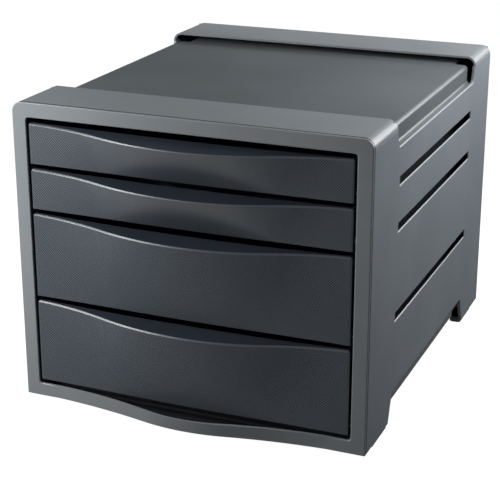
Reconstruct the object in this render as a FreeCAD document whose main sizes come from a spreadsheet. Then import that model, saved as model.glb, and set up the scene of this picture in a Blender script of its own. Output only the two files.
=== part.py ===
import FreeCAD, Part
import Sketcher
import math
import os

# Desktop drawer cabinet for letter-size papers, in millimetres.
# +Z is up, the drawers open toward -Y, and the origin is on the ground under the middle
# of the whole cabinet, grip lips included.

SIZES = {
    # housing
    "housing_width": "285", "housing_depth": "337.5", "panel_wall": "2.6", "corner_radius": "8",
    # front bezel
    "stile_width": "11.6", "top_rail_height": "11.5", "bottom_rail_height": "10.3",
    "bezel_plate": "2.2", "collar_depth": "14", "collar_wall": "2.2", "opening_radius": "2.5",
    "bezel_edge_radius": "0.9", "seam_width": "0.8", "seam_depth": "1.2",
    "rail_reach_low": "15", "rail_reach_high": "16.8", "rail_crown_share": "0.24",
    "rail_rim": "1.6", "sill_drop": "7.5",
    # drawers in their opening
    "small_front_height": "32.5", "large_front_height": "68.3", "front_gap": "3.3",
    "front_side_gap": "1.9", "bottom_gap": "4.2", "drawer_travel": "235",
    # drawer fronts
    "front_thickness": "3.2", "lip_reach": "17.5", "lip_foot_reach": "1.8",
    "lip_crown_share": "0.52", "lip_drop": "4.9", "lip_chamfer": "1.2", "shelf_drop": "0.5",
    "small_shelf_dip": "1.5", "large_shelf_dip": "2.7", "front_corner_radius": "1.6",
    "clip_width": "16", "clip_height": "6", "clip_hook": "1.4", "clip_place": "78",
    "clip_clearance": "0.2",
    # trays
    "tray_wall": "2", "tray_floor": "2", "tray_lift": "1.2", "tray_rim_drop": "3.8",
    "tray_corner_radius": "6", "tray_edge_radius": "2", "tray_rear_gap": "4",
    "flange_reach": "5", "flange_thickness": "2", "flange_clearance": "0.9",
    "lug_reach": "3.4", "lug_length": "8", "stop_clearance": "0.4",
    # runners
    "runner_thickness": "2.2", "runner_rise": "5.15", "runner_gap": "1.5",
    "slide_clearance": "0.3", "guide_clearance": "0.8",
    # side panels
    "slot_height": "7.1", "slot_start": "65.4", "slot_end": "62.4", "slot_wall": "1",
    "slot_relief": "3", "slot_chamfer": "0.7", "foot_length": "57", "foot_height": "17",
    "foot_width": "11", "foot_wall": "1.6", "arch_height": "22.7", "arch_slant": "7.8",
    "rim_drop": "21.2", "rim_slant": "4.5", "rim_corner_radius": "4", "rim_chamfer": "0.8",
    "rear_rib": "5",
    # top rail, hood and top panel
    "rail_depth": "57", "hood_depth": "53", "hood_wall": "1.8", "hood_skirt": "12",
    "plate_drop": "6.8", "plate_inset": "6.1", "plate_thickness": "2.4", "plate_radius": "3.5",
    "skirt_wall": "1.8", "skirt_sink": "1.6", "bead_reach": "2.4", "bead_height": "1",
    "shelf_rib_reach": "7", "tail_inset": "12", "tail_gap": "4",
    # snap tongues and tabs between the mouldings of the housing
    "tongue_start": "15", "tongue_length": "26", "tongue_height": "7",
    "tongue_thickness": "1.6", "tab_length": "30", "tab_depth": "9", "tab_inset": "45",
    # base and back
    "base_thickness": "2.2", "base_tongue": "4", "base_gap": "0.3",
    "base_skirt_wall": "2", "base_skirt_drop": "10", "base_skirt_end": "81",
    "back_thickness": "2.6", "back_recess": "0.8",
    "back_margin": "14",
    # pads
    "pad_drop": "2.2", "pad_seat": "0.8", "pad_margin": "0.5", "pad_length": "38",
    "pad_radius": "3", "front_pad_start": "18", "rear_pad_end": "21",
}
SHEET_NAME = "Sizes"

doc = FreeCAD.newDocument("DrawerCabinet")
sheet = doc.addObject("Spreadsheet::Sheet", SHEET_NAME)
for row, (alias, text) in enumerate(SIZES.items(), start=1):
    sheet.set("A%d" % row, alias)
    sheet.set("B%d" % row, text)
    sheet.setAlias("B%d" % row, alias)
doc.recompute()


class Length:
    """A length that knows its number and the sheet expression that gives it."""

    def __init__(self, text, value):
        self.text = text
        self.value = value

    @staticmethod
    def of(other):
        return other if isinstance(other, Length) else Length(repr(float(other)), float(other))

    def __add__(self, other):
        other = Length.of(other)
        return Length("(%s + %s)" % (self.text, other.text), self.value + other.value)

    def __sub__(self, other):
        other = Length.of(other)
        return Length("(%s - %s)" % (self.text, other.text), self.value - other.value)

    def __mul__(self, other):
        other = Length.of(other)
        return Length("(%s * %s)" % (self.text, other.text), self.value * other.value)

    def __truediv__(self, other):
        other = Length.of(other)
        return Length("(%s / %s)" % (self.text, other.text), self.value / other.value)

    def __neg__(self):
        return Length("(-1 * %s)" % self.text, -self.value)


def size(alias):
    return Length("%s.%s" % (SHEET_NAME, alias), float(SIZES[alias]))


ZERO = Length("0", 0.0)

# Main planes of the housing
HALF = size("housing_width") / 2
FRONT = (size("lip_reach") - size("housing_depth")) / 2
REAR = (size("lip_reach") + size("housing_depth")) / 2
GROUND = size("pad_drop")
WALL = size("panel_wall")
INNER = HALF - WALL

# The opening of the bezel and the drawers stacked in it, from the bottom up
OPENING_HALF = HALF - size("stile_width")
OPENING_BOTTOM = GROUND + size("bottom_rail_height")
FRONT_HALF = OPENING_HALF - size("front_side_gap")
SMALL = size("small_front_height")
LARGE = size("large_front_height")
GAP = size("front_gap")
LEVEL_4 = OPENING_BOTTOM + size("bottom_gap")
LEVEL_3 = LEVEL_4 + LARGE + GAP
LEVEL_2 = LEVEL_3 + LARGE + GAP
LEVEL_1 = LEVEL_2 + SMALL + GAP
OPENING_TOP = LEVEL_1 + SMALL + GAP
TOP = OPENING_TOP + size("top_rail_height")
DRAWERS = {"drawer_1": (LEVEL_1, SMALL), "drawer_2": (LEVEL_2, SMALL),
           "drawer_3": (LEVEL_3, LARGE), "drawer_4": (LEVEL_4, LARGE)}

# Planes where the pieces of the housing meet
PANEL_FRONT = FRONT + size("bezel_plate")
COLLAR_REAR = FRONT + size("collar_depth")
SHOULDER = TOP - size("corner_radius")
RIM = TOP - size("rim_drop")
FOOT_TOP = GROUND + size("foot_height")
ARCH_TOP = GROUND + size("arch_height")
SILL = OPENING_BOTTOM - size("sill_drop")
RAIL_REAR = FRONT + size("rail_depth")
HOOD_FRONT = REAR - size("hood_depth")
BACK_FRONT = REAR - size("back_thickness")
SKIRT_BOTTOM = RIM - size("skirt_sink")
SILL_HALF = OPENING_HALF - size("opening_radius")
PLATE_TOP = TOP - size("plate_drop")

# The runner that carries a drawer whose front starts at a level
RUNNER_TIP = OPENING_HALF - size("flange_clearance") - size("flange_reach") + size("runner_gap")


def runner_top(level):
    return level + size("runner_rise")


def guide_bottom(level):
    """Underside of the guide above the flange of the tray that this runner carries."""
    return (runner_top(level) + size("slide_clearance") + size("flange_thickness")
            + size("guide_clearance"))


# ---- drawing helpers -------------------------------------------------------------------

def new_body(label):
    body = doc.addObject("PartDesign::Body", label)
    body.Label = label
    return body


def new_sketch(body, plane, offset=None):
    """A sketch on one of the body's own origin planes, shifted along the plane's normal."""
    sketch = body.newObject("Sketcher::SketchObject", body.Label + "_sketch")
    support = [part for part in body.Origin.OriginFeatures if part.Role == plane][0]
    sketch.AttachmentSupport = (support, [""])
    sketch.MapMode = "FlatFace"
    if offset is not None:
        sketch.setExpression("AttachmentOffset.Base.z", offset.text)
    return sketch


def bind(sketch, constraint, length):
    """Add a dimensional constraint whose value comes from the sheet."""
    index = sketch.addConstraint(constraint)
    sketch.setExpression("Constraints[%d]" % index, length.text)


def arc_between(start, end, radius, turn):
    """The short arc from start to end; turn is 1 for counter-clockwise and -1 for clockwise."""
    chord = end - start
    height = math.sqrt(max(radius ** 2 - (chord.Length / 2) ** 2, 0.0))
    normal = FreeCAD.Vector(-chord.y, chord.x, 0).normalize()
    centre = (start + end) / 2 + normal * height * turn
    first, last = (start, end) if turn > 0 else (end, start)
    angles = [math.atan2(p.y - centre.y, p.x - centre.x) for p in (first, last)]
    circle = Part.Circle(centre, FreeCAD.Vector(0, 0, 1), radius)
    return Part.ArcOfCircle(circle, angles[0], angles[1])


def place(sketch, geometry, point, x, y):
    """Hold a point of the geometry at (x, y) from the sketch's origin."""
    bind(sketch, Sketcher.Constraint("DistanceX", -1, 1, geometry, point, x.value), x)
    bind(sketch, Sketcher.Constraint("DistanceY", -1, 1, geometry, point, y.value), y)


def draw(sketch, path):
    """Draw one closed outline. Each step of the path is (x, y), reached by a straight line,
    or (x, y, radius, turn), reached by an arc; the first step closes the outline."""
    corners = [FreeCAD.Vector(step[0].value, step[1].value, 0) for step in path]
    ends = []
    for index, step in enumerate(path):
        start, end = corners[index - 1], corners[index]
        if len(step) == 2:
            line = sketch.addGeometry(Part.LineSegment(start, end), False)
            ends.append((line, 1, 2))
        else:
            arc = sketch.addGeometry(arc_between(start, end, step[2].value, step[3]), False)
            ends.append((arc, 1, 2) if step[3] > 0 else (arc, 2, 1))
    for index, step in enumerate(path):
        geometry, _, last = ends[index]
        follower, first, _ = ends[(index + 1) % len(path)]
        sketch.addConstraint(Sketcher.Constraint("Coincident", geometry, last, follower, first))
        place(sketch, geometry, last, step[0], step[1])
        if len(step) > 2:
            bind(sketch, Sketcher.Constraint("Radius", geometry, step[2].value), step[2])


def rectangle(sketch, left, right, low, high):
    draw(sketch, [(left, low), (right, low), (right, high), (left, high)])


def rounded_rectangle(sketch, left, right, low, high, radius):
    draw(sketch, [(right - radius, low), (right, low + radius, radius, 1),
                  (right, high - radius), (right - radius, high, radius, 1),
                  (left + radius, high), (left, high - radius, radius, 1),
                  (left, low + radius), (left + radius, low, radius, 1)])


def feature(body, kind, sketch, length, backward=False):
    """A Pad or a Pocket of the given length. A pad goes along the sketch's normal and a
    pocket against it, unless it is turned backward."""
    made = body.newObject("PartDesign::" + kind, "%s_%s" % (body.Label, kind.lower()))
    made.Profile = sketch
    made.setExpression("Length", length.text)
    made.Reversed = backward
    sketch.Visibility = False
    return made


def pad(body, sketch, length, backward=False):
    return feature(body, "Pad", sketch, length, backward)


def pocket(body, sketch, length, backward=False):
    """A pocket that must take material away."""
    doc.recompute()
    before = body.Shape.Volume
    made = feature(body, "Pocket", sketch, length, backward)
    doc.recompute()
    if body.Shape.Volume >= before:
        raise ValueError(body.Label + ": a pocket cuts nothing")
    return made


def dress(body, kind, size_name, length, wanted):
    """Fillet or chamfer every edge of the body for which wanted(edge) is true."""
    doc.recompute()
    base = body.Tip
    names = ["Edge%d" % (i + 1) for i, edge in enumerate(base.Shape.Edges) if wanted(edge)]
    made = body.newObject("PartDesign::" + kind, "%s_%s" % (body.Label, kind.lower()))
    made.Base = (base, names)
    made.setExpression(size_name, length.text)
    return made


def fillet(body, radius, wanted):
    return dress(body, "Fillet", "Radius", radius, wanted)


def near(number, length):
    return abs(number - length.value) < 0.01


def lies_on(edge, axis, length):
    """True where the whole edge lies in the plane axis = length."""
    return all(near(getattr(vertex.Point, axis), length) for vertex in edge.Vertexes) \
        and near(getattr(edge.CenterOfMass, axis), length)


def runs_along(edge, axis):
    """True for a straight edge that is parallel to the axis."""
    if len(edge.Vertexes) < 2 or not isinstance(edge.Curve, Part.Line):
        return False
    return abs(abs(getattr(edge.tangentAt(edge.FirstParameter), axis)) - 1) < 1e-6


# ---- the wave outline of the grip lips and of the bottom rail --------------------------

def wave(start_y, half, reach, crown_share):
    """Steps along a wave from -X to +X: a hollow arc, the crown that stands forward by reach,
    and the mirrored hollow arc, each tangent to the next. The crown's arc takes crown_share
    of the half width."""
    arcs = (half * half + reach * reach) / (reach * 2)
    crown = arcs * crown_share
    hollow = arcs - crown
    turn_x = half * crown_share
    turn_y = start_y - reach + reach * crown_share
    return [(-turn_x, turn_y, hollow, -1), (turn_x, turn_y, crown, 1), (half, start_y, hollow, -1)]


def wave_section(body, height, rear_y, front_y, half, reach, crown_share):
    """A level section of a piece with a straight rear and a wave for its front."""
    sketch = new_sketch(body, "XY_Plane", height)
    path = [(half, rear_y), (-half, rear_y), (-half, front_y)]
    draw(sketch, path + wave(front_y, half, reach, crown_share))
    return sketch


def front_section(body, height, reach):
    """A level section of a drawer's front, a wave between two rounded corners."""
    corner = size("front_corner_radius")
    start = FRONT_HALF - corner
    rear = FRONT + size("front_thickness")
    sketch = new_sketch(body, "XY_Plane", height)
    draw(sketch, [(FRONT_HALF, rear), (-FRONT_HALF, rear), (-FRONT_HALF, FRONT + corner),
                  (-start, FRONT, corner, 1)]
         + wave(FRONT, start, reach, size("lip_crown_share"))
         + [(FRONT_HALF, FRONT + corner, corner, 1)])
    return sketch


def loft(body, sections, kind="Additive"):
    """A straight-sided loft through the sections, added or, as Subtractive, taken away."""
    made = body.newObject("PartDesign::%sLoft" % kind, body.Label + "_loft")
    made.Profile = sections[0]
    made.Sections = sections[1:]
    made.Ruled = True
    return made


# ---- housing ---------------------------------------------------------------------------

def make_front_bezel():
    """The picture frame round the drawers. Its bottom rail swells forward in a wave with a
    sunken sill behind its rim, and a collar reaches back between the side panels."""
    body = new_body("front_bezel")
    radius = size("corner_radius")
    outline = new_sketch(body, "XZ_Plane", -FRONT)
    draw(outline, [(-HALF, GROUND), (HALF, GROUND), (HALF, SHOULDER),
                   (HALF - radius, TOP, radius, 1), (-HALF + radius, TOP),
                   (-HALF, SHOULDER, radius, 1)])
    pad(body, outline, size("bezel_plate"), backward=True)

    collar = new_sketch(body, "XZ_Plane", -FRONT)
    margin = size("collar_wall")
    rectangle(collar, -OPENING_HALF - margin, OPENING_HALF + margin, SILL - margin,
              OPENING_TOP + margin)
    pad(body, collar, size("collar_depth"), backward=True)

    opening = new_sketch(body, "XZ_Plane", -FRONT)
    rounded_rectangle(opening, -OPENING_HALF, OPENING_HALF, OPENING_BOTTOM, OPENING_TOP,
                      size("opening_radius"))
    pocket(body, opening, size("collar_depth"))

    fillet(body, size("bezel_edge_radius"), lambda edge: lies_on(edge, "y", FRONT)
           and not lies_on(edge, "z", GROUND))

    front = FRONT + size("bezel_edge_radius")
    low = wave_section(body, GROUND, FRONT + size("bezel_plate"), front, HALF,
                       size("rail_reach_low") + size("bezel_edge_radius"),
                       size("rail_crown_share"))
    high = wave_section(body, OPENING_BOTTOM, FRONT + size("bezel_plate"), front, HALF,
                        size("rail_reach_high") + size("bezel_edge_radius"),
                        size("rail_crown_share"))
    loft(body, [low, high])

    rim = front + size("rail_rim")
    sill = new_sketch(body, "XY_Plane", OPENING_BOTTOM)
    draw(sill, [(SILL_HALF, COLLAR_REAR), (-SILL_HALF, COLLAR_REAR), (-SILL_HALF, rim)]
         + wave(rim, SILL_HALF, size("rail_reach_high") + size("bezel_edge_radius"),
                size("rail_crown_share")))
    pocket(body, sill, size("sill_drop"))

    tabs = new_sketch(body, "XZ_Plane", -(PANEL_FRONT - size("bezel_plate") / 2))
    half_tab = size("tab_length") / 2
    for centre in (OPENING_BOTTOM + size("tab_inset"), OPENING_TOP - size("tab_inset")):
        for left, right in ((-INNER, -INNER + size("tongue_thickness")),
                            (INNER - size("tongue_thickness"), INNER)):
            rectangle(tabs, left, right, centre - half_tab, centre + half_tab)
    pad(body, tabs, size("tab_depth"), backward=True)
    return body


def across(side, near_centre, far):
    """Left and right of a span on one side, given by its distances from the middle."""
    return (near_centre, far) if side > 0 else (-far, -near_centre)


def make_side_panel(label, side):
    """One side wall with its slots, ribs and two hollow feet. side is -1 on the left and 1 on
    the right."""
    body = new_body(label)
    slant, foot, rim_slant = size("arch_slant"), size("foot_length"), size("rim_slant")
    outer = HALF if side > 0 else -HALF
    profile = new_sketch(body, "YZ_Plane", outer)
    draw(profile, [(PANEL_FRONT, GROUND), (FRONT + foot, GROUND),
                   (FRONT + foot + slant, ARCH_TOP), (REAR - foot - slant, ARCH_TOP),
                   (REAR - foot, GROUND), (REAR, GROUND), (REAR, SHOULDER),
                   (HOOD_FRONT, SHOULDER), (HOOD_FRONT - rim_slant, RIM),
                   (RAIL_REAR + rim_slant, RIM), (RAIL_REAR, SHOULDER),
                   (PANEL_FRONT, SHOULDER)])
    pad(body, profile, WALL, backward=side > 0)
    corners = [RAIL_REAR + rim_slant, HOOD_FRONT - rim_slant]
    fillet(body, size("rim_corner_radius"), lambda edge: runs_along(edge, "x")
           and lies_on(edge, "z", RIM) and any(lies_on(edge, "y", y) for y in corners))

    def on_outer_rim(edge):
        middle = edge.CenterOfMass
        recess = (RAIL_REAR.value + 0.5 < middle.y < HOOD_FRONT.value - 0.5
                  and middle.z > RIM.value - 0.5)
        between_feet = lies_on(edge, "z", ARCH_TOP)
        return lies_on(edge, "x", outer) and (recess or between_feet)

    dress(body, "Chamfer", "Size", size("rim_chamfer"), on_outer_rim)
    seam = new_sketch(body, "YZ_Plane", outer)
    rectangle(seam, PANEL_FRONT, PANEL_FRONT + size("seam_width"), GROUND, SHOULDER)
    pocket(body, seam, size("seam_depth"), backward=side < 0)
    add_ribs(body, side)
    add_feet(body, side, outer)
    cut_slots(body, side, outer)
    return body


def add_ribs(body, side):
    """The runners and guides of the trays, the rib under the top panel and the one before the
    back panel."""
    left, right = across(side, RUNNER_TIP, HALF - WALL / 2)
    thickness = size("runner_thickness")
    ribs = new_sketch(body, "XZ_Plane", -COLLAR_REAR)
    for name, (level, _) in DRAWERS.items():
        top, guide = runner_top(level), guide_bottom(level)
        if name != "drawer_4":
            rectangle(ribs, left, right, top - thickness, top)
        rectangle(ribs, left, right, guide, guide + thickness)
    pad(body, ribs, BACK_FRONT - COLLAR_REAR, backward=True)

    shelf = new_sketch(body, "XZ_Plane", -RAIL_REAR)
    left, right = across(side, HALF - size("shelf_rib_reach") - WALL, HALF - WALL / 2)
    rectangle(shelf, left, right, SKIRT_BOTTOM - thickness, SKIRT_BOTTOM)
    pad(body, shelf, BACK_FRONT - RAIL_REAR, backward=True)

    rear_rib = new_sketch(body, "XY_Plane", runner_top(LEVEL_4))
    left, right = across(side, HALF - WALL - size("rear_rib"), HALF - WALL / 2)
    rectangle(rear_rib, left, right, BACK_FRONT - thickness, BACK_FRONT)
    pad(body, rear_rib, SKIRT_BOTTOM - runner_top(LEVEL_4))


def add_feet(body, side, outer):
    """A front and a rear foot, hollow from the arch between them, with seats for the pads."""
    foot, width, wall = size("foot_length"), size("foot_width"), size("foot_wall")
    slant = size("arch_slant")
    lean = slant * size("foot_height") / size("arch_height")
    feet = new_sketch(body, "YZ_Plane", outer)
    draw(feet, [(COLLAR_REAR, GROUND), (FRONT + foot, GROUND),
                (FRONT + foot + lean, FOOT_TOP), (COLLAR_REAR, FOOT_TOP)])
    draw(feet, [(REAR - foot, GROUND), (REAR, GROUND), (REAR, FOOT_TOP),
                (REAR - foot - lean, FOOT_TOP)])
    pad(body, feet, width, backward=side > 0)

    left, right = across(side, HALF - width + wall, INNER)
    low, high = GROUND + size("pad_seat") + wall, FOOT_TOP - wall
    front_cavity = new_sketch(body, "XZ_Plane", -(COLLAR_REAR + wall))
    rectangle(front_cavity, left, right, low, high)
    pocket(body, front_cavity, FRONT + foot + slant - COLLAR_REAR)
    rear_cavity = new_sketch(body, "XZ_Plane", -(REAR - foot - slant))
    rectangle(rear_cavity, left, right, low, high)
    pocket(body, rear_cavity, foot + slant - wall)

    seats = new_sketch(body, "XY_Plane", GROUND)
    margin = size("pad_margin")
    left, right = across(side, HALF - width + margin, HALF - margin)
    for start, end in pad_spans():
        rounded_rectangle(seats, left, right, start, end, size("pad_radius"))
    pocket(body, seats, size("pad_seat"), backward=True)


def cut_slots(body, side, outer):
    """A slot under each upper runner. The wall is thinner round it, and its lower lip has a
    chamfer."""
    slots = new_sketch(body, "YZ_Plane", outer)
    thin = HALF - size("slot_wall")
    reliefs = new_sketch(body, "YZ_Plane", thin if side > 0 else -thin)
    relief = size("slot_relief")
    start, end = FRONT + size("slot_start"), REAR - size("slot_end")
    floors = []
    for level in (LEVEL_1, LEVEL_2, LEVEL_3):
        top = runner_top(level) - size("runner_thickness")
        low = top - size("slot_height")
        rectangle(slots, start, end, low, top)
        rectangle(reliefs, start - relief, end + relief, low - relief, top)
        floors.append(low)
    pocket(body, slots, WALL, backward=side < 0)
    pocket(body, reliefs, WALL - size("slot_wall"), backward=side < 0)
    dress(body, "Chamfer", "Size", size("slot_chamfer"), lambda edge: lies_on(edge, "x", outer)
          and any(lies_on(edge, "z", floor) for floor in floors))


def pad_spans():
    """Front and rear of the front pad and of the rear pad."""
    front = FRONT + size("front_pad_start")
    rear = REAR - size("rear_pad_end")
    return [(front, front + size("pad_length")), (rear - size("pad_length"), rear)]


def make_foot_pad(label, side, span):
    body = new_body(label)
    sketch = new_sketch(body, "XY_Plane")
    margin = size("pad_margin")
    left, right = across(side, HALF - size("foot_width") + margin, HALF - margin)
    rounded_rectangle(sketch, left, right, span[0], span[1], size("pad_radius"))
    pad(body, sketch, size("pad_drop") + size("pad_seat"))
    return body


def cap_section(body, y, wall):
    """A section at y across the top of the housing: a skin with rounded shoulders."""
    radius = size("corner_radius")
    inner = radius - wall
    sketch = new_sketch(body, "XZ_Plane", -y)
    draw(sketch, [(HALF, SHOULDER), (HALF - radius, TOP, radius, 1), (-HALF + radius, TOP),
                  (-HALF, SHOULDER, radius, 1), (-HALF + wall, SHOULDER),
                  (-HALF + radius, TOP - wall, inner, -1), (HALF - radius, TOP - wall),
                  (HALF - wall, SHOULDER, inner, -1)])
    return sketch


def arch(body, start, end, wall):
    """A cap across the top from start to end along Y, open below. A tongue under each shoulder
    holds it inside the side panel."""
    pad(body, cap_section(body, start, wall), end - start, backward=True)

    low, high = SHOULDER - size("tongue_height"), SHOULDER + wall / 2
    root, inside = HALF - wall / 2, INNER - size("tongue_thickness")
    tongues = new_sketch(body, "XZ_Plane", -(start + size("tongue_start")))
    draw(tongues, [(inside, low), (INNER, low), (INNER, SHOULDER), (root, SHOULDER),
                   (root, high), (inside, high)])
    draw(tongues, [(-inside, high), (-root, high), (-root, SHOULDER), (-INNER, SHOULDER),
                   (-INNER, low), (-inside, low)])
    pad(body, tongues, size("tongue_length"), backward=True)


def make_front_top_rail():
    body = new_body("front_top_rail")
    arch(body, PANEL_FRONT, RAIL_REAR, WALL)
    pocket(body, cap_section(body, PANEL_FRONT, size("seam_depth")), size("seam_width"))
    rear_wall = new_sketch(body, "XZ_Plane", -(RAIL_REAR - WALL))
    floor = PLATE_TOP - size("plate_thickness")
    rectangle(rear_wall, -INNER, INNER, floor, TOP - WALL / 2)
    pad(body, rear_wall, WALL, backward=True)
    return body


def make_rear_hood():
    body = new_body("rear_hood")
    arch(body, HOOD_FRONT, REAR, size("hood_wall"))
    rear_wall = new_sketch(body, "XZ_Plane", -(REAR - size("hood_wall")))
    rectangle(rear_wall, -INNER, INNER, TOP - size("hood_skirt"), TOP - size("hood_wall") / 2)
    pad(body, rear_wall, size("hood_wall"), backward=True)
    return body


def make_top_panel():
    """The recessed plate. Its rounded sides turn down into skirts that flare into a bead,
    and it goes on under the hood as a narrower tail."""
    body = new_body("top_panel")
    edge = HALF - size("plate_inset")
    radius = size("plate_radius")
    bead = size("bead_reach")
    bead_top = SKIRT_BOTTOM + size("bead_height")
    wall = size("skirt_wall")
    under = PLATE_TOP - size("plate_thickness")
    sketch = new_sketch(body, "XZ_Plane", -RAIL_REAR)
    draw(sketch, [(-edge + radius, PLATE_TOP), (-edge, PLATE_TOP - radius, radius, 1),
                  (-edge, bead_top + bead), (-edge - bead, bead_top, bead, -1),
                  (-edge - bead, SKIRT_BOTTOM), (-edge + wall, SKIRT_BOTTOM),
                  (-edge + wall, under), (edge - wall, under), (edge - wall, SKIRT_BOTTOM),
                  (edge + bead, SKIRT_BOTTOM), (edge + bead, bead_top),
                  (edge, bead_top + bead, bead, -1), (edge, PLATE_TOP - radius),
                  (edge - radius, PLATE_TOP, radius, 1)])
    pad(body, sketch, BACK_FRONT - RAIL_REAR, backward=True)

    corners = new_sketch(body, "XY_Plane", PLATE_TOP)
    tail = edge - size("tail_inset")
    tail_start = HOOD_FRONT - size("tail_gap")
    rectangle(corners, tail, edge + bead, tail_start, BACK_FRONT)
    rectangle(corners, -edge - bead, -tail, tail_start, BACK_FRONT)
    pocket(body, corners, PLATE_TOP - SKIRT_BOTTOM)
    return body


def make_base_panel():
    """The pan under the lowest drawer. Its raised edges rest on the feet and are the runners
    of that drawer, skirts hang from them between the feet, and a tongue along its front lies
    on the sill of the bezel."""
    body = new_body("base_panel")
    floor = OPENING_BOTTOM
    thickness = size("base_thickness")
    step = HALF - size("foot_width")
    edge = INNER - size("base_gap")
    flange_top = runner_top(LEVEL_4)
    sketch = new_sketch(body, "XZ_Plane", -COLLAR_REAR)
    draw(sketch, [(-edge, FOOT_TOP), (-step, FOOT_TOP), (-step, floor), (step, floor),
                  (step, FOOT_TOP), (edge, FOOT_TOP), (edge, flange_top),
                  (RUNNER_TIP, flange_top), (RUNNER_TIP, floor + thickness),
                  (-RUNNER_TIP, floor + thickness), (-RUNNER_TIP, flange_top),
                  (-edge, flange_top)])
    pad(body, sketch, BACK_FRONT - COLLAR_REAR, backward=True)

    start = FRONT + size("foot_length") + size("arch_slant") + size("base_gap")
    skirts = new_sketch(body, "XZ_Plane", -start)
    low, high = ARCH_TOP - size("base_skirt_drop"), guide_bottom(LEVEL_4) - size("base_gap")
    inside = edge - size("base_skirt_wall")
    rectangle(skirts, -edge, -inside, low, high)
    rectangle(skirts, inside, edge, low, high)
    pad(body, skirts, REAR - size("base_skirt_end") - start, backward=True)

    half = SILL_HALF - size("base_gap")
    tongue = new_sketch(body, "YZ_Plane", -half)
    tip = COLLAR_REAR - size("base_tongue")
    draw(tongue, [(tip, SILL), (COLLAR_REAR + thickness, SILL),
                  (COLLAR_REAR + thickness, floor + thickness / 2),
                  (COLLAR_REAR, floor + thickness / 2), (COLLAR_REAR, SILL + thickness),
                  (tip, SILL + thickness)])
    pad(body, tongue, half * 2)
    return body


def make_back_panel():
    body = new_body("back_panel")
    sketch = new_sketch(body, "XZ_Plane", -BACK_FRONT)
    low, high = OPENING_BOTTOM, TOP - size("hood_skirt")
    step = HALF - size("foot_width")
    draw(sketch, [(-step, low), (step, low), (step, FOOT_TOP), (INNER, FOOT_TOP),
                  (INNER, high), (-INNER, high), (-INNER, FOOT_TOP), (-step, FOOT_TOP)])
    pad(body, sketch, size("back_thickness"), backward=True)
    recess = new_sketch(body, "XZ_Plane", -REAR)
    margin = size("back_margin")
    rounded_rectangle(recess, -INNER + margin, INNER - margin, FOOT_TOP + margin, high - margin,
                      size("tray_corner_radius"))
    pocket(body, recess, size("back_recess"), backward=True)
    return body


# ---- drawers ---------------------------------------------------------------------------

TRAY_HALF = RUNNER_TIP - size("runner_gap")
TRAY_FRONT = FRONT + size("front_thickness")
TRAY_REAR = BACK_FRONT - size("tray_rear_gap")
LUG_FRONT = COLLAR_REAR + size("drawer_travel") + size("stop_clearance")


def make_tray(label, level, height):
    """An open tray. A flange along each side slides on the runners, and a lug on it meets the
    rear of the bezel's collar when the drawer is fully out."""
    body = new_body(label)
    low = level + size("tray_lift")
    high = level + height - size("tray_rim_drop")
    wall = size("tray_wall")
    corner = size("tray_corner_radius")

    outline = new_sketch(body, "XY_Plane", low)
    draw(outline, [(-TRAY_HALF, TRAY_FRONT), (TRAY_HALF, TRAY_FRONT),
                   (TRAY_HALF, TRAY_REAR - corner), (TRAY_HALF - corner, TRAY_REAR, corner, 1),
                   (-TRAY_HALF + corner, TRAY_REAR), (-TRAY_HALF, TRAY_REAR - corner, corner, 1)])
    pad(body, outline, high - low)

    hollow = new_sketch(body, "XY_Plane", low + size("tray_floor"))
    rounded_rectangle(hollow, -TRAY_HALF + wall, TRAY_HALF - wall, TRAY_FRONT + wall,
                      TRAY_REAR - wall, corner - wall)
    pocket(body, hollow, high - low, backward=True)

    flange_low = runner_top(level) + size("slide_clearance")
    thickness = size("flange_thickness")
    tip = TRAY_HALF + size("flange_reach")
    flanges = new_sketch(body, "XY_Plane", flange_low)
    rectangle(flanges, -tip, -TRAY_HALF + wall / 2, TRAY_FRONT, TRAY_REAR - corner)
    rectangle(flanges, TRAY_HALF - wall / 2, tip, TRAY_FRONT, TRAY_REAR - corner)
    pad(body, flanges, thickness)
    lugs = new_sketch(body, "XY_Plane", flange_low)
    lug_rear = LUG_FRONT + size("lug_length")
    reach = tip + size("lug_reach")
    rectangle(lugs, -reach, -TRAY_HALF, LUG_FRONT, lug_rear)
    rectangle(lugs, TRAY_HALF, reach, LUG_FRONT, lug_rear)
    pad(body, lugs, thickness)

    windows = new_sketch(body, "XZ_Plane", -TRAY_FRONT)
    for centre in (-size("clip_place"), size("clip_place")):
        span = size("clip_width") / 2 + size("clip_clearance")
        rise = clip_level(level, height)
        rectangle(windows, centre - span, centre + span, rise - size("clip_clearance"),
                  rise + size("clip_height"))
    pocket(body, windows, wall)
    fillet(body, size("tray_edge_radius"), lambda edge: lies_on(edge, "z", low)
           and edge.CenterOfMass.y > TRAY_FRONT.value + 1)
    return body


def clip_level(level, height):
    """Underside of the clips that hold a drawer's front to its tray."""
    return level + height / 2


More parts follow.
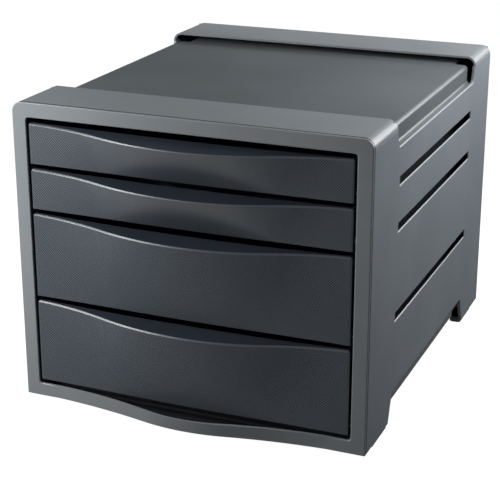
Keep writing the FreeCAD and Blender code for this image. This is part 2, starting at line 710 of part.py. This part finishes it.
def make_front(label, level, height):
    """A drawer's front. Its lower edge is nearly straight and its upper edge swells forward
    in a wave, with a shelf on top that the fingers pull on. The shelf falls toward the lip,
    and it dips a little in the middle."""
    body = new_body(label)
    foot, reach, sunk = size("lip_foot_reach"), size("lip_reach"), size("lip_drop")
    rear = FRONT + size("front_thickness")
    top = level + height
    dip = size("small_shelf_dip" if height is SMALL else "large_shelf_dip")
    shelf_end = top - size("shelf_drop")
    slope = (sunk - size("shelf_drop") - dip) / (reach + size("front_thickness"))
    top_reach = foot + (reach - foot) * height / (height - sunk)
    loft(body, [front_section(body, level, foot), front_section(body, top, top_reach)])

    bow = (FRONT_HALF * FRONT_HALF + dip * dip) / (dip * 2)

    def above_shelf(y):
        """Everything above the shelf in a section across the drawer at y."""
        section = new_sketch(body, "XZ_Plane", -y)
        low = shelf_end - (rear - y) * slope
        draw(section, [(FRONT_HALF, top + dip), (-FRONT_HALF, top + dip), (-FRONT_HALF, low),
                       (FRONT_HALF, low, bow, 1)])
        return section

    loft(body, [above_shelf(rear), above_shelf(FRONT - top_reach)], "Subtractive")

    def on_lip(edge):
        spots = [vertex.Point for vertex in edge.Vertexes] + [edge.CenterOfMass]
        return all(spot.y < FRONT.value + 0.01 for spot in spots) and all(
            near(spot.z, shelf_end - dip + bow - (rear - Length.of(spot.y)) * slope
                 - Length.of(math.sqrt(bow.value ** 2 - spot.x ** 2)))
            for spot in spots[:-1])

    dress(body, "Chamfer", "Size", size("lip_chamfer"), on_lip)

    clips = new_sketch(body, "XZ_Plane", -rear)
    rise = clip_level(level, height)
    for centre in (-size("clip_place"), size("clip_place")):
        span = size("clip_width") / 2
        rectangle(clips, centre - span, centre + span, rise,
                  rise + size("clip_height") - size("clip_clearance"))
    pad(body, clips, size("tray_wall") + size("clip_clearance"), backward=True)
    hooks = new_sketch(body, "XZ_Plane", -(rear + size("tray_wall") + size("clip_clearance")))
    for centre in (-size("clip_place"), size("clip_place")):
        span = size("clip_width") / 2
        rectangle(hooks, centre - span, centre + span, rise,
                  rise + size("clip_height") + size("clip_hook"))
    pad(body, hooks, size("clip_hook"), backward=True)
    return body


# ---- the whole cabinet -----------------------------------------------------------------

bodies = [make_front_bezel(), make_front_top_rail(), make_rear_hood(), make_top_panel(),
          make_base_panel(), make_back_panel()]
for side_name, side in (("left", -1), ("right", 1)):
    bodies.append(make_side_panel(side_name + "_side_panel", side))
    for end_name, span in zip(("front", "rear"), pad_spans()):
        bodies.append(make_foot_pad("foot_pad_%s_%s" % (end_name, side_name), side, span))
for name, (level, height) in DRAWERS.items():
    bodies.append(make_tray(name + "_tray", level, height))
    bodies.append(make_front(name + "_front", level, height))
doc.recompute()

for item in doc.Objects:
    if "Invalid" in item.State or "Error" in item.State:
        raise ValueError("%s: %s" % (item.Label, item.State))
for body in bodies:
    if body.Shape.isNull() or not body.Shape.isValid() or len(body.Shape.Solids) != 1:
        raise ValueError(body.Label + ": the shape is not one valid solid")

os.makedirs("parts", exist_ok=True)
for body in bodies:
    body.Shape.exportStep(os.path.join("parts", body.Label + ".step"))
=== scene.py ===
import math
import bpy
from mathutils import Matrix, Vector

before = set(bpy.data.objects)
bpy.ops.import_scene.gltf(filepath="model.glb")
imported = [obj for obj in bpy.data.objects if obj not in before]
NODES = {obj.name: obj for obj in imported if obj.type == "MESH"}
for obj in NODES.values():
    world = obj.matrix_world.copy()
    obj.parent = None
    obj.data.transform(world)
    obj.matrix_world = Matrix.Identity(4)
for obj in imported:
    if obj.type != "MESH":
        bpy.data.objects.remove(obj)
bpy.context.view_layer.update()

MM = 0.001

# The mouldings that share a finish
CAPS = ["front_bezel", "front_top_rail", "rear_hood"]
WALLS = ["left_side_panel", "right_side_panel"]
PLATES = ["top_panel"]
CARCASS = ["back_panel", "base_panel"]
FRONTS = ["drawer_%d_front" % number for number in range(1, 5)]
TRAYS = ["drawer_%d_tray" % number for number in range(1, 5)]
PADS = [name for name in NODES if name.startswith("foot_pad")]


# ---- node helpers ----------------------------------------------------------------------

class Finish:
    """A node material with one Principled shader and short ways to build what feeds it."""

    def __init__(self, name):
        self.material = bpy.data.materials.new(name)
        self.material.use_nodes = True
        self.tree = self.material.node_tree
        self.shader = self.tree.nodes["Principled BSDF"]

    # What goes into the shader

    def paint(self, colour):
        self.colour = colour
        self.link(colour, self.shader.inputs["Base Color"])

    def roughen(self, roughness):
        self.link(roughness, self.shader.inputs["Roughness"])

    def gloss(self, faces, edges):
        """Less gloss on the grained flat faces than on the roundings between them."""
        across, along, up = [self.math("ABSOLUTE", part) for part in self.normal()]
        square = self.math("MAXIMUM", self.math("MAXIMUM", across, along), up)
        self.shader.inputs["Specular IOR Level"].default_value = faces
        self.shader.inputs["Coat Roughness"].default_value = COAT_ROUGHNESS
        self.link(self.spread(square, edges, 0, ROUNDED, SQUARE),
                  self.shader.inputs["Coat Weight"])

    def bump(self, height, depth, strength):
        made = self.node("ShaderNodeBump")
        made.inputs["Distance"].default_value = depth
        made.inputs["Strength"].default_value = strength
        self.link(height, made.inputs["Height"])
        self.link(made.outputs["Normal"], self.shader.inputs["Normal"])

    # What the values are made from

    def node(self, kind, **settings):
        made = self.tree.nodes.new(kind)
        for key, value in settings.items():
            setattr(made, key, value)
        return made

    def link(self, source, target):
        self.tree.links.new(source, target)

    def feed(self, socket, value):
        """Link the value to the socket, or set it there when it is a plain one."""
        if isinstance(value, bpy.types.NodeSocket):
            self.link(value, socket)
        else:
            socket.default_value = value

    def parts(self, vector):
        made = self.node("ShaderNodeSeparateXYZ")
        self.link(vector, made.inputs[0])
        return made.outputs["X"], made.outputs["Y"], made.outputs["Z"]

    def place(self):
        """Object coordinates, in metres."""
        return self.node("ShaderNodeTexCoord").outputs["Object"]

    def normal(self):
        """The three parts of the surface's normal."""
        return self.parts(self.node("ShaderNodeNewGeometry").outputs["Normal"])

    def noise(self, size, detail=2.0):
        """Noise whose features are about size metres across."""
        made = self.node("ShaderNodeTexNoise")
        made.inputs["Scale"].default_value = 1 / size
        made.inputs["Detail"].default_value = detail
        self.link(self.place(), made.inputs["Vector"])
        return made.outputs["Fac"]

    def math(self, operation, first, second=0.0):
        made = self.node("ShaderNodeMath", operation=operation)
        self.feed(made.inputs[0], first)
        self.feed(made.inputs[1], second)
        return made.outputs[0]

    def spread(self, value, low, high, start=0.0, end=1.0):
        """Low where the value is at its start, high where it is at its end."""
        made = self.node("ShaderNodeMapRange")
        self.link(value, made.inputs["Value"])
        made.inputs["From Min"].default_value = start
        made.inputs["From Max"].default_value = end
        made.inputs["To Min"].default_value = low
        made.inputs["To Max"].default_value = high
        return made.outputs["Result"]

    def above(self, value, edge, soft):
        """Zero below the edge and one above it."""
        return self.spread(value, 0, 1, edge - soft, edge + soft)

    def below(self, value, edge, soft):
        """One below the edge and zero above it."""
        return self.above(self.math("MULTIPLY", value, -1), -edge, soft)

    def blend(self, amount, first, second):
        made = self.node("ShaderNodeMix", data_type="RGBA")
        self.feed(made.inputs["Factor"], amount)
        self.feed(made.inputs["A"], first)
        self.feed(made.inputs["B"], second)
        return made.outputs["Result"]


def shade(red, green, blue):
    """A colour given as the eight bit values that it should render near."""
    def linear(value):
        part = value / 255
        return part / 12.92 if part <= 0.04045 else ((part + 0.055) / 1.055) ** 2.4
    return (linear(red), linear(green), linear(blue), 1.0)


# ---- plastics --------------------------------------------------------------------------

# A face counts as flat where the largest part of its normal reaches SQUARE, and as a
# rounding where it falls to ROUNDED.
SQUARE = 0.98
ROUNDED = 0.90
COAT_ROUGHNESS = 0.28
EDGE_GLOSS = 0.48
LIP_GLOSS = 0.60

# The middle of a noise's range, where nearly all of its values lie
NOISE_LOW = 0.3
NOISE_HIGH = 0.7

TONE_DRIFT = 90 * MM
TONE_DETAIL = 3.0
ROUGHNESS_DRIFT = 0.02
ROUGHNESS_GRAIN = 0.03
GRAIN_DEPTH = 0.04 * MM
GRAIN_STRENGTH = 0.5


def moulded_plastic(name, dark, light, roughness, grain_size):
    """Moulded plastic with a slow drift of its tone and a fine spark-eroded grain."""
    finish = Finish(name)
    drift = finish.noise(TONE_DRIFT, TONE_DETAIL)
    tone = finish.spread(drift, 0, 1, NOISE_LOW, NOISE_HIGH)
    finish.paint(finish.blend(tone, dark, light))
    grain = finish.noise(grain_size)
    slow = finish.spread(drift, roughness - ROUGHNESS_DRIFT, roughness + ROUGHNESS_DRIFT,
                         NOISE_LOW, NOISE_HIGH)
    fine = finish.spread(grain, -ROUGHNESS_GRAIN, ROUGHNESS_GRAIN)
    finish.roughen(finish.math("ADD", fine, slow))
    finish.bump(grain, GRAIN_DEPTH, GRAIN_STRENGTH)
    return finish


HOUSING_ROUGHNESS = 0.22
HOUSING_GRAIN = 0.7 * MM
SEAM_FRONT = -158.0 * MM
SEAM_REAR = -156.6 * MM
SILL_TOP = 11.8 * MM
# Painted shade: the dark tone laid on the seam behind the bezel and on the sill under the
# lowest drawer
SHADOW = shade(30, 32, 35)
BORDER = 0.1 * MM            # over which the shadow tone fades in
FACING = 0.5                 # part of the normal that counts as facing a way
FACING_SOFT = 0.1


def housing_plastic(name, dark, light):
    """The grey plastic of the housing. Painted shade darkens the seam behind the bezel and the
    sill under the lowest drawer to a tone as dark as the carcass; the sill's mask also darkens
    the rear faces of the feet below the sill's height."""
    finish = moulded_plastic(name, dark, light, HOUSING_ROUGHNESS, HOUSING_GRAIN)
    finish.gloss(0, EDGE_GLOSS)
    _, along, up = finish.parts(finish.place())
    _, back, top = finish.normal()
    # Painted shade: the SHADOW tone covers the band between SEAM_FRONT and SEAM_REAR, and every
    # face below SILL_TOP that faces up or to the rear. That is the sill under the lowest
    # drawer, and also the rear faces of the feet.
    seam_shade = finish.math("MULTIPLY", finish.above(along, SEAM_FRONT, BORDER),
                       finish.below(along, SEAM_REAR, BORDER))
    inward = finish.above(finish.math("MAXIMUM", back, top), FACING, FACING_SOFT)
    sill_shade = finish.math("MULTIPLY", inward, finish.below(up, SILL_TOP, BORDER))
    finish.paint(finish.blend(finish.math("MAXIMUM", seam_shade, sill_shade), finish.colour, SHADOW))
    return finish.material


PLATE_ROUGHNESS = 0.28
PLATE_GRAIN = 0.7 * MM


def plate_plastic():
    """The darker grey of the top plate."""
    finish = moulded_plastic("plate_plastic", shade(79, 83, 86), shade(85, 89, 92),
                             PLATE_ROUGHNESS, PLATE_GRAIN)
    finish.gloss(0, EDGE_GLOSS)
    return finish.material


INNER_ROUGHNESS = 0.52
INNER_GRAIN = 0.9 * MM
INNER_GLOSS = 0.05


def inner_plastic():
    """The dull dark plastic of the back and the base pan."""
    finish = moulded_plastic("inner_plastic", shade(42, 44, 48), shade(48, 50, 54),
                             INNER_ROUGHNESS, INNER_GRAIN)
    finish.shader.inputs["Specular IOR Level"].default_value = INNER_GLOSS
    return finish.material


TRAY_ROUGHNESS = 0.42
TRAY_GRAIN = 0.8 * MM


def tray_plastic():
    """The satin dark plastic of the trays."""
    return moulded_plastic("tray_plastic", shade(46, 50, 56), shade(52, 56, 62),
                           TRAY_ROUGHNESS, TRAY_GRAIN).material


DOT_PITCH = 2.13 * MM
DOT_SOFTNESS = 0.7           # of the wave's height, over which a dot fades into the ground
DOT_DEPTH = 0.12 * MM
DOT_STRENGTH = 0.7
DOT_ROUGHNESS = 0.36
GROUND_ROUGHNESS = 0.44
FRONT_GLOSS = 0.08
FRONT_DRIFT = 60 * MM
FACE_FULL = -0.95            # the normal's part to the rear where the dots are full
FACE_END = -0.8              # and where they end


def front_plastic():
    """Anthracite plastic. Rows of fine dots, set in a diamond lattice, cover its front face."""
    finish = Finish("front_plastic")
    across, _, up = finish.parts(finish.place())
    turn = 2 * math.pi / DOT_PITCH
    columns = finish.math("COSINE", finish.math("MULTIPLY", across, turn))
    rows = finish.math("COSINE", finish.math("MULTIPLY", up, turn))
    dots = finish.spread(finish.math("MULTIPLY", columns, rows), 0, 1,
                         -DOT_SOFTNESS, DOT_SOFTNESS)
    _, facing, _ = finish.normal()
    dotted = finish.math("MULTIPLY", dots, finish.spread(facing, 1, 0, FACE_FULL, FACE_END))
    tone = finish.spread(finish.noise(FRONT_DRIFT, TONE_DETAIL), 0, 1, NOISE_LOW, NOISE_HIGH)
    ground = finish.blend(tone, shade(34, 39, 46), shade(38, 43, 50))
    finish.paint(finish.blend(dotted, ground, shade(78, 83, 88)))
    finish.roughen(finish.spread(dotted, GROUND_ROUGHNESS, DOT_ROUGHNESS))
    finish.gloss(FRONT_GLOSS, LIP_GLOSS)
    finish.bump(dotted, DOT_DEPTH, DOT_STRENGTH)
    return finish.material


PAD_DRIFT = 8 * MM
PAD_GRAIN = 0.6 * MM
PAD_DEPTH = 0.08 * MM
PAD_STRENGTH = 0.6
PAD_SMOOTH = 0.75
PAD_ROUGH = 0.9


def pad_rubber():
    """The matt black rubber under the feet."""
    finish = Finish("pad_rubber")
    drift = finish.noise(PAD_DRIFT, TONE_DETAIL)
    finish.paint(finish.blend(drift, shade(26, 26, 27), shade(36, 36, 37)))
    finish.roughen(finish.spread(drift, PAD_SMOOTH, PAD_ROUGH))
    finish.bump(finish.noise(PAD_GRAIN), PAD_DEPTH, PAD_STRENGTH)
    return finish.material


# ---- moulded edges ---------------------------------------------------------------------

WELD_REACH = 0.002 * MM
FLAT = math.radians(0.4)
CORNER = math.radians(28)
ROUNDING_STEPS = 2

HOUSING_EDGE = 0.35 * MM
INNER_EDGE = 0.3 * MM
DRAWER_EDGE = 0.3 * MM
PAD_EDGE = 0.4 * MM


def soften(name, radius, material):
    """Give a moulding its finish and round every sharp edge of it as a mould does."""
    part = NODES[name]
    part.data.materials.clear()
    part.data.materials.append(material)
    part.data.polygons.foreach_set("use_smooth", [True] * len(part.data.polygons))
    weld = part.modifiers.new("weld", "WELD")
    weld.merge_threshold = WELD_REACH
    flat = part.modifiers.new("flat faces", "DECIMATE")
    flat.decimate_type = "DISSOLVE"
    flat.angle_limit = FLAT
    edges = part.modifiers.new("edges", "BEVEL")
    edges.width = radius
    edges.segments = ROUNDING_STEPS
    edges.limit_method = "ANGLE"
    edges.angle_limit = CORNER
    edges.harden_normals = True
    shading = part.modifiers.new("shading", "WEIGHTED_NORMAL")
    shading.keep_sharp = True


# ---- studio ----------------------------------------------------------------------------

CAMERA_PLACE = Vector((0.417, -1.046, 0.499))
CAMERA_YAW = math.radians(22.43)
CAMERA_PITCH = math.radians(19.77)
CAMERA_LENS = 101.66
CAMERA_FILM = 36.0
CAMERA_REACH = 20


def make_camera():
    data = bpy.data.cameras.new("camera")
    data.lens = CAMERA_LENS
    data.sensor_width = CAMERA_FILM
    data.clip_end = CAMERA_REACH
    camera = bpy.data.objects.new("camera", data)
    camera.location = CAMERA_PLACE
    camera.rotation_euler = (math.pi / 2 - CAMERA_PITCH, 0, CAMERA_YAW)
    bpy.context.scene.collection.objects.link(camera)
    bpy.context.scene.camera = camera


# Each lamp's name, place, aim, width, height and watts. The tall strip at the left lights
# the front, the wall lamps the right side, and the last two the top from behind.
LAMPS = (
    ("left_strip", (-0.40, -0.42, 0.31), (-0.10, -0.16, 0.16), 0.20, 0.40, 4.3),
    ("left_upper", (-0.35, -0.42, 0.45), (-0.12, -0.16, 0.20), 0.20, 0.20, 0.9),
    ("wall_front", (0.30, -0.07, 0.44), (0.14, -0.07, 0.21), 0.14, 0.14, 0.80),
    ("wall_middle", (0.30, 0.15, 0.40), (0.14, 0.10, 0.20), 0.15, 0.15, 1.1),
    ("wall_rear", (0.52, 0.55, 0.29), (0.14, 0.15, 0.14), 0.25, 0.25, 1.7),
    ("edge_light", (0.62, 1.20, 0.60), (0.14, 0.00, 0.24), 0.55, 0.50, 3.8),
    ("rear_left", (-0.12, 0.45, 0.38), (-0.06, 0.10, 0.24), 0.30, 0.15, 2.3),
)


def soft_light(name, place, aim, width, height, power):
    data = bpy.data.lights.new(name, "AREA")
    data.shape = "RECTANGLE"
    data.size = width
    data.size_y = height
    data.energy = power
    light = bpy.data.objects.new(name, data)
    light.location = place
    light.rotation_euler = (Vector(aim) - Vector(place)).to_track_quat("-Z", "Y").to_euler()
    bpy.context.scene.collection.objects.link(light)


def seen_directly(tree):
    """One where a camera, glossy or transmitted ray meets the surface, and zero elsewhere."""
    path = tree.nodes.new("ShaderNodeLightPath")
    total = path.outputs["Is Camera Ray"]
    for name in ("Is Glossy Ray", "Is Transmission Ray"):
        add = tree.nodes.new("ShaderNodeMath")
        add.operation = "MAXIMUM"
        tree.links.new(total, add.inputs[0])
        tree.links.new(path.outputs[name], add.inputs[1])
        total = add.outputs[0]
    return total


AMBIENT = 0.03
WHITE = (1, 1, 1, 1)


def make_world():
    """White to look at, with only a little light from all around."""
    world = bpy.data.worlds.new("studio")
    world.use_nodes = True
    tree = world.node_tree
    background = tree.nodes["Background"]
    background.inputs["Color"].default_value = WHITE
    level = tree.nodes.new("ShaderNodeMapRange")
    level.inputs["To Min"].default_value = AMBIENT
    level.inputs["To Max"].default_value = 1.0
    tree.links.new(seen_directly(tree), level.inputs["Value"])
    tree.links.new(level.outputs["Result"], background.inputs["Strength"])
    bpy.context.scene.world = world


FLOOR_SIZE = 6
FLOOR_LIFT = 0.97
FLOOR_GREY = (0.15, 0.15, 0.15, 1)
FLOOR_ROUGHNESS = 0.9
FLOOR_GLOSS = 0.1


def make_floor():
    """White to look at, while its own grey keeps the cabinet's shadow."""
    bpy.ops.mesh.primitive_plane_add(size=FLOOR_SIZE)
    floor = bpy.context.object
    floor.name = "floor"
    material = bpy.data.materials.new("floor_white")
    material.use_nodes = True
    tree = material.node_tree
    shader = tree.nodes["Principled BSDF"]
    shader.inputs["Base Color"].default_value = FLOOR_GREY
    shader.inputs["Roughness"].default_value = FLOOR_ROUGHNESS
    shader.inputs["Specular IOR Level"].default_value = FLOOR_GLOSS
    shader.inputs["Emission Color"].default_value = WHITE
    lift = tree.nodes.new("ShaderNodeMath")
    lift.operation = "MULTIPLY"
    lift.inputs[1].default_value = FLOOR_LIFT
    tree.links.new(seen_directly(tree), lift.inputs[0])
    tree.links.new(lift.outputs[0], shader.inputs["Emission Strength"])
    floor.data.materials.append(material)


# ---- the dressed cabinet ---------------------------------------------------------------

make_camera()
make_world()
make_floor()
for lamp in LAMPS:
    soft_light(*lamp)

caps = housing_plastic("cap_plastic", shade(104, 108, 111), shade(111, 115, 118))
walls = housing_plastic("wall_plastic", shade(101, 106, 111), shade(108, 113, 118))
for names, edge, finish in (
    (CAPS, HOUSING_EDGE, caps),
    (WALLS, HOUSING_EDGE, walls),
    (PLATES, HOUSING_EDGE, plate_plastic()),
    (CARCASS, INNER_EDGE, inner_plastic()),
    (FRONTS, DRAWER_EDGE, front_plastic()),
    (TRAYS, DRAWER_EDGE, tray_plastic()),
    (PADS, PAD_EDGE, pad_rubber()),
):
    for name in names:
        soften(name, edge, finish)

bpy.context.scene.view_settings.view_transform = "Standard"
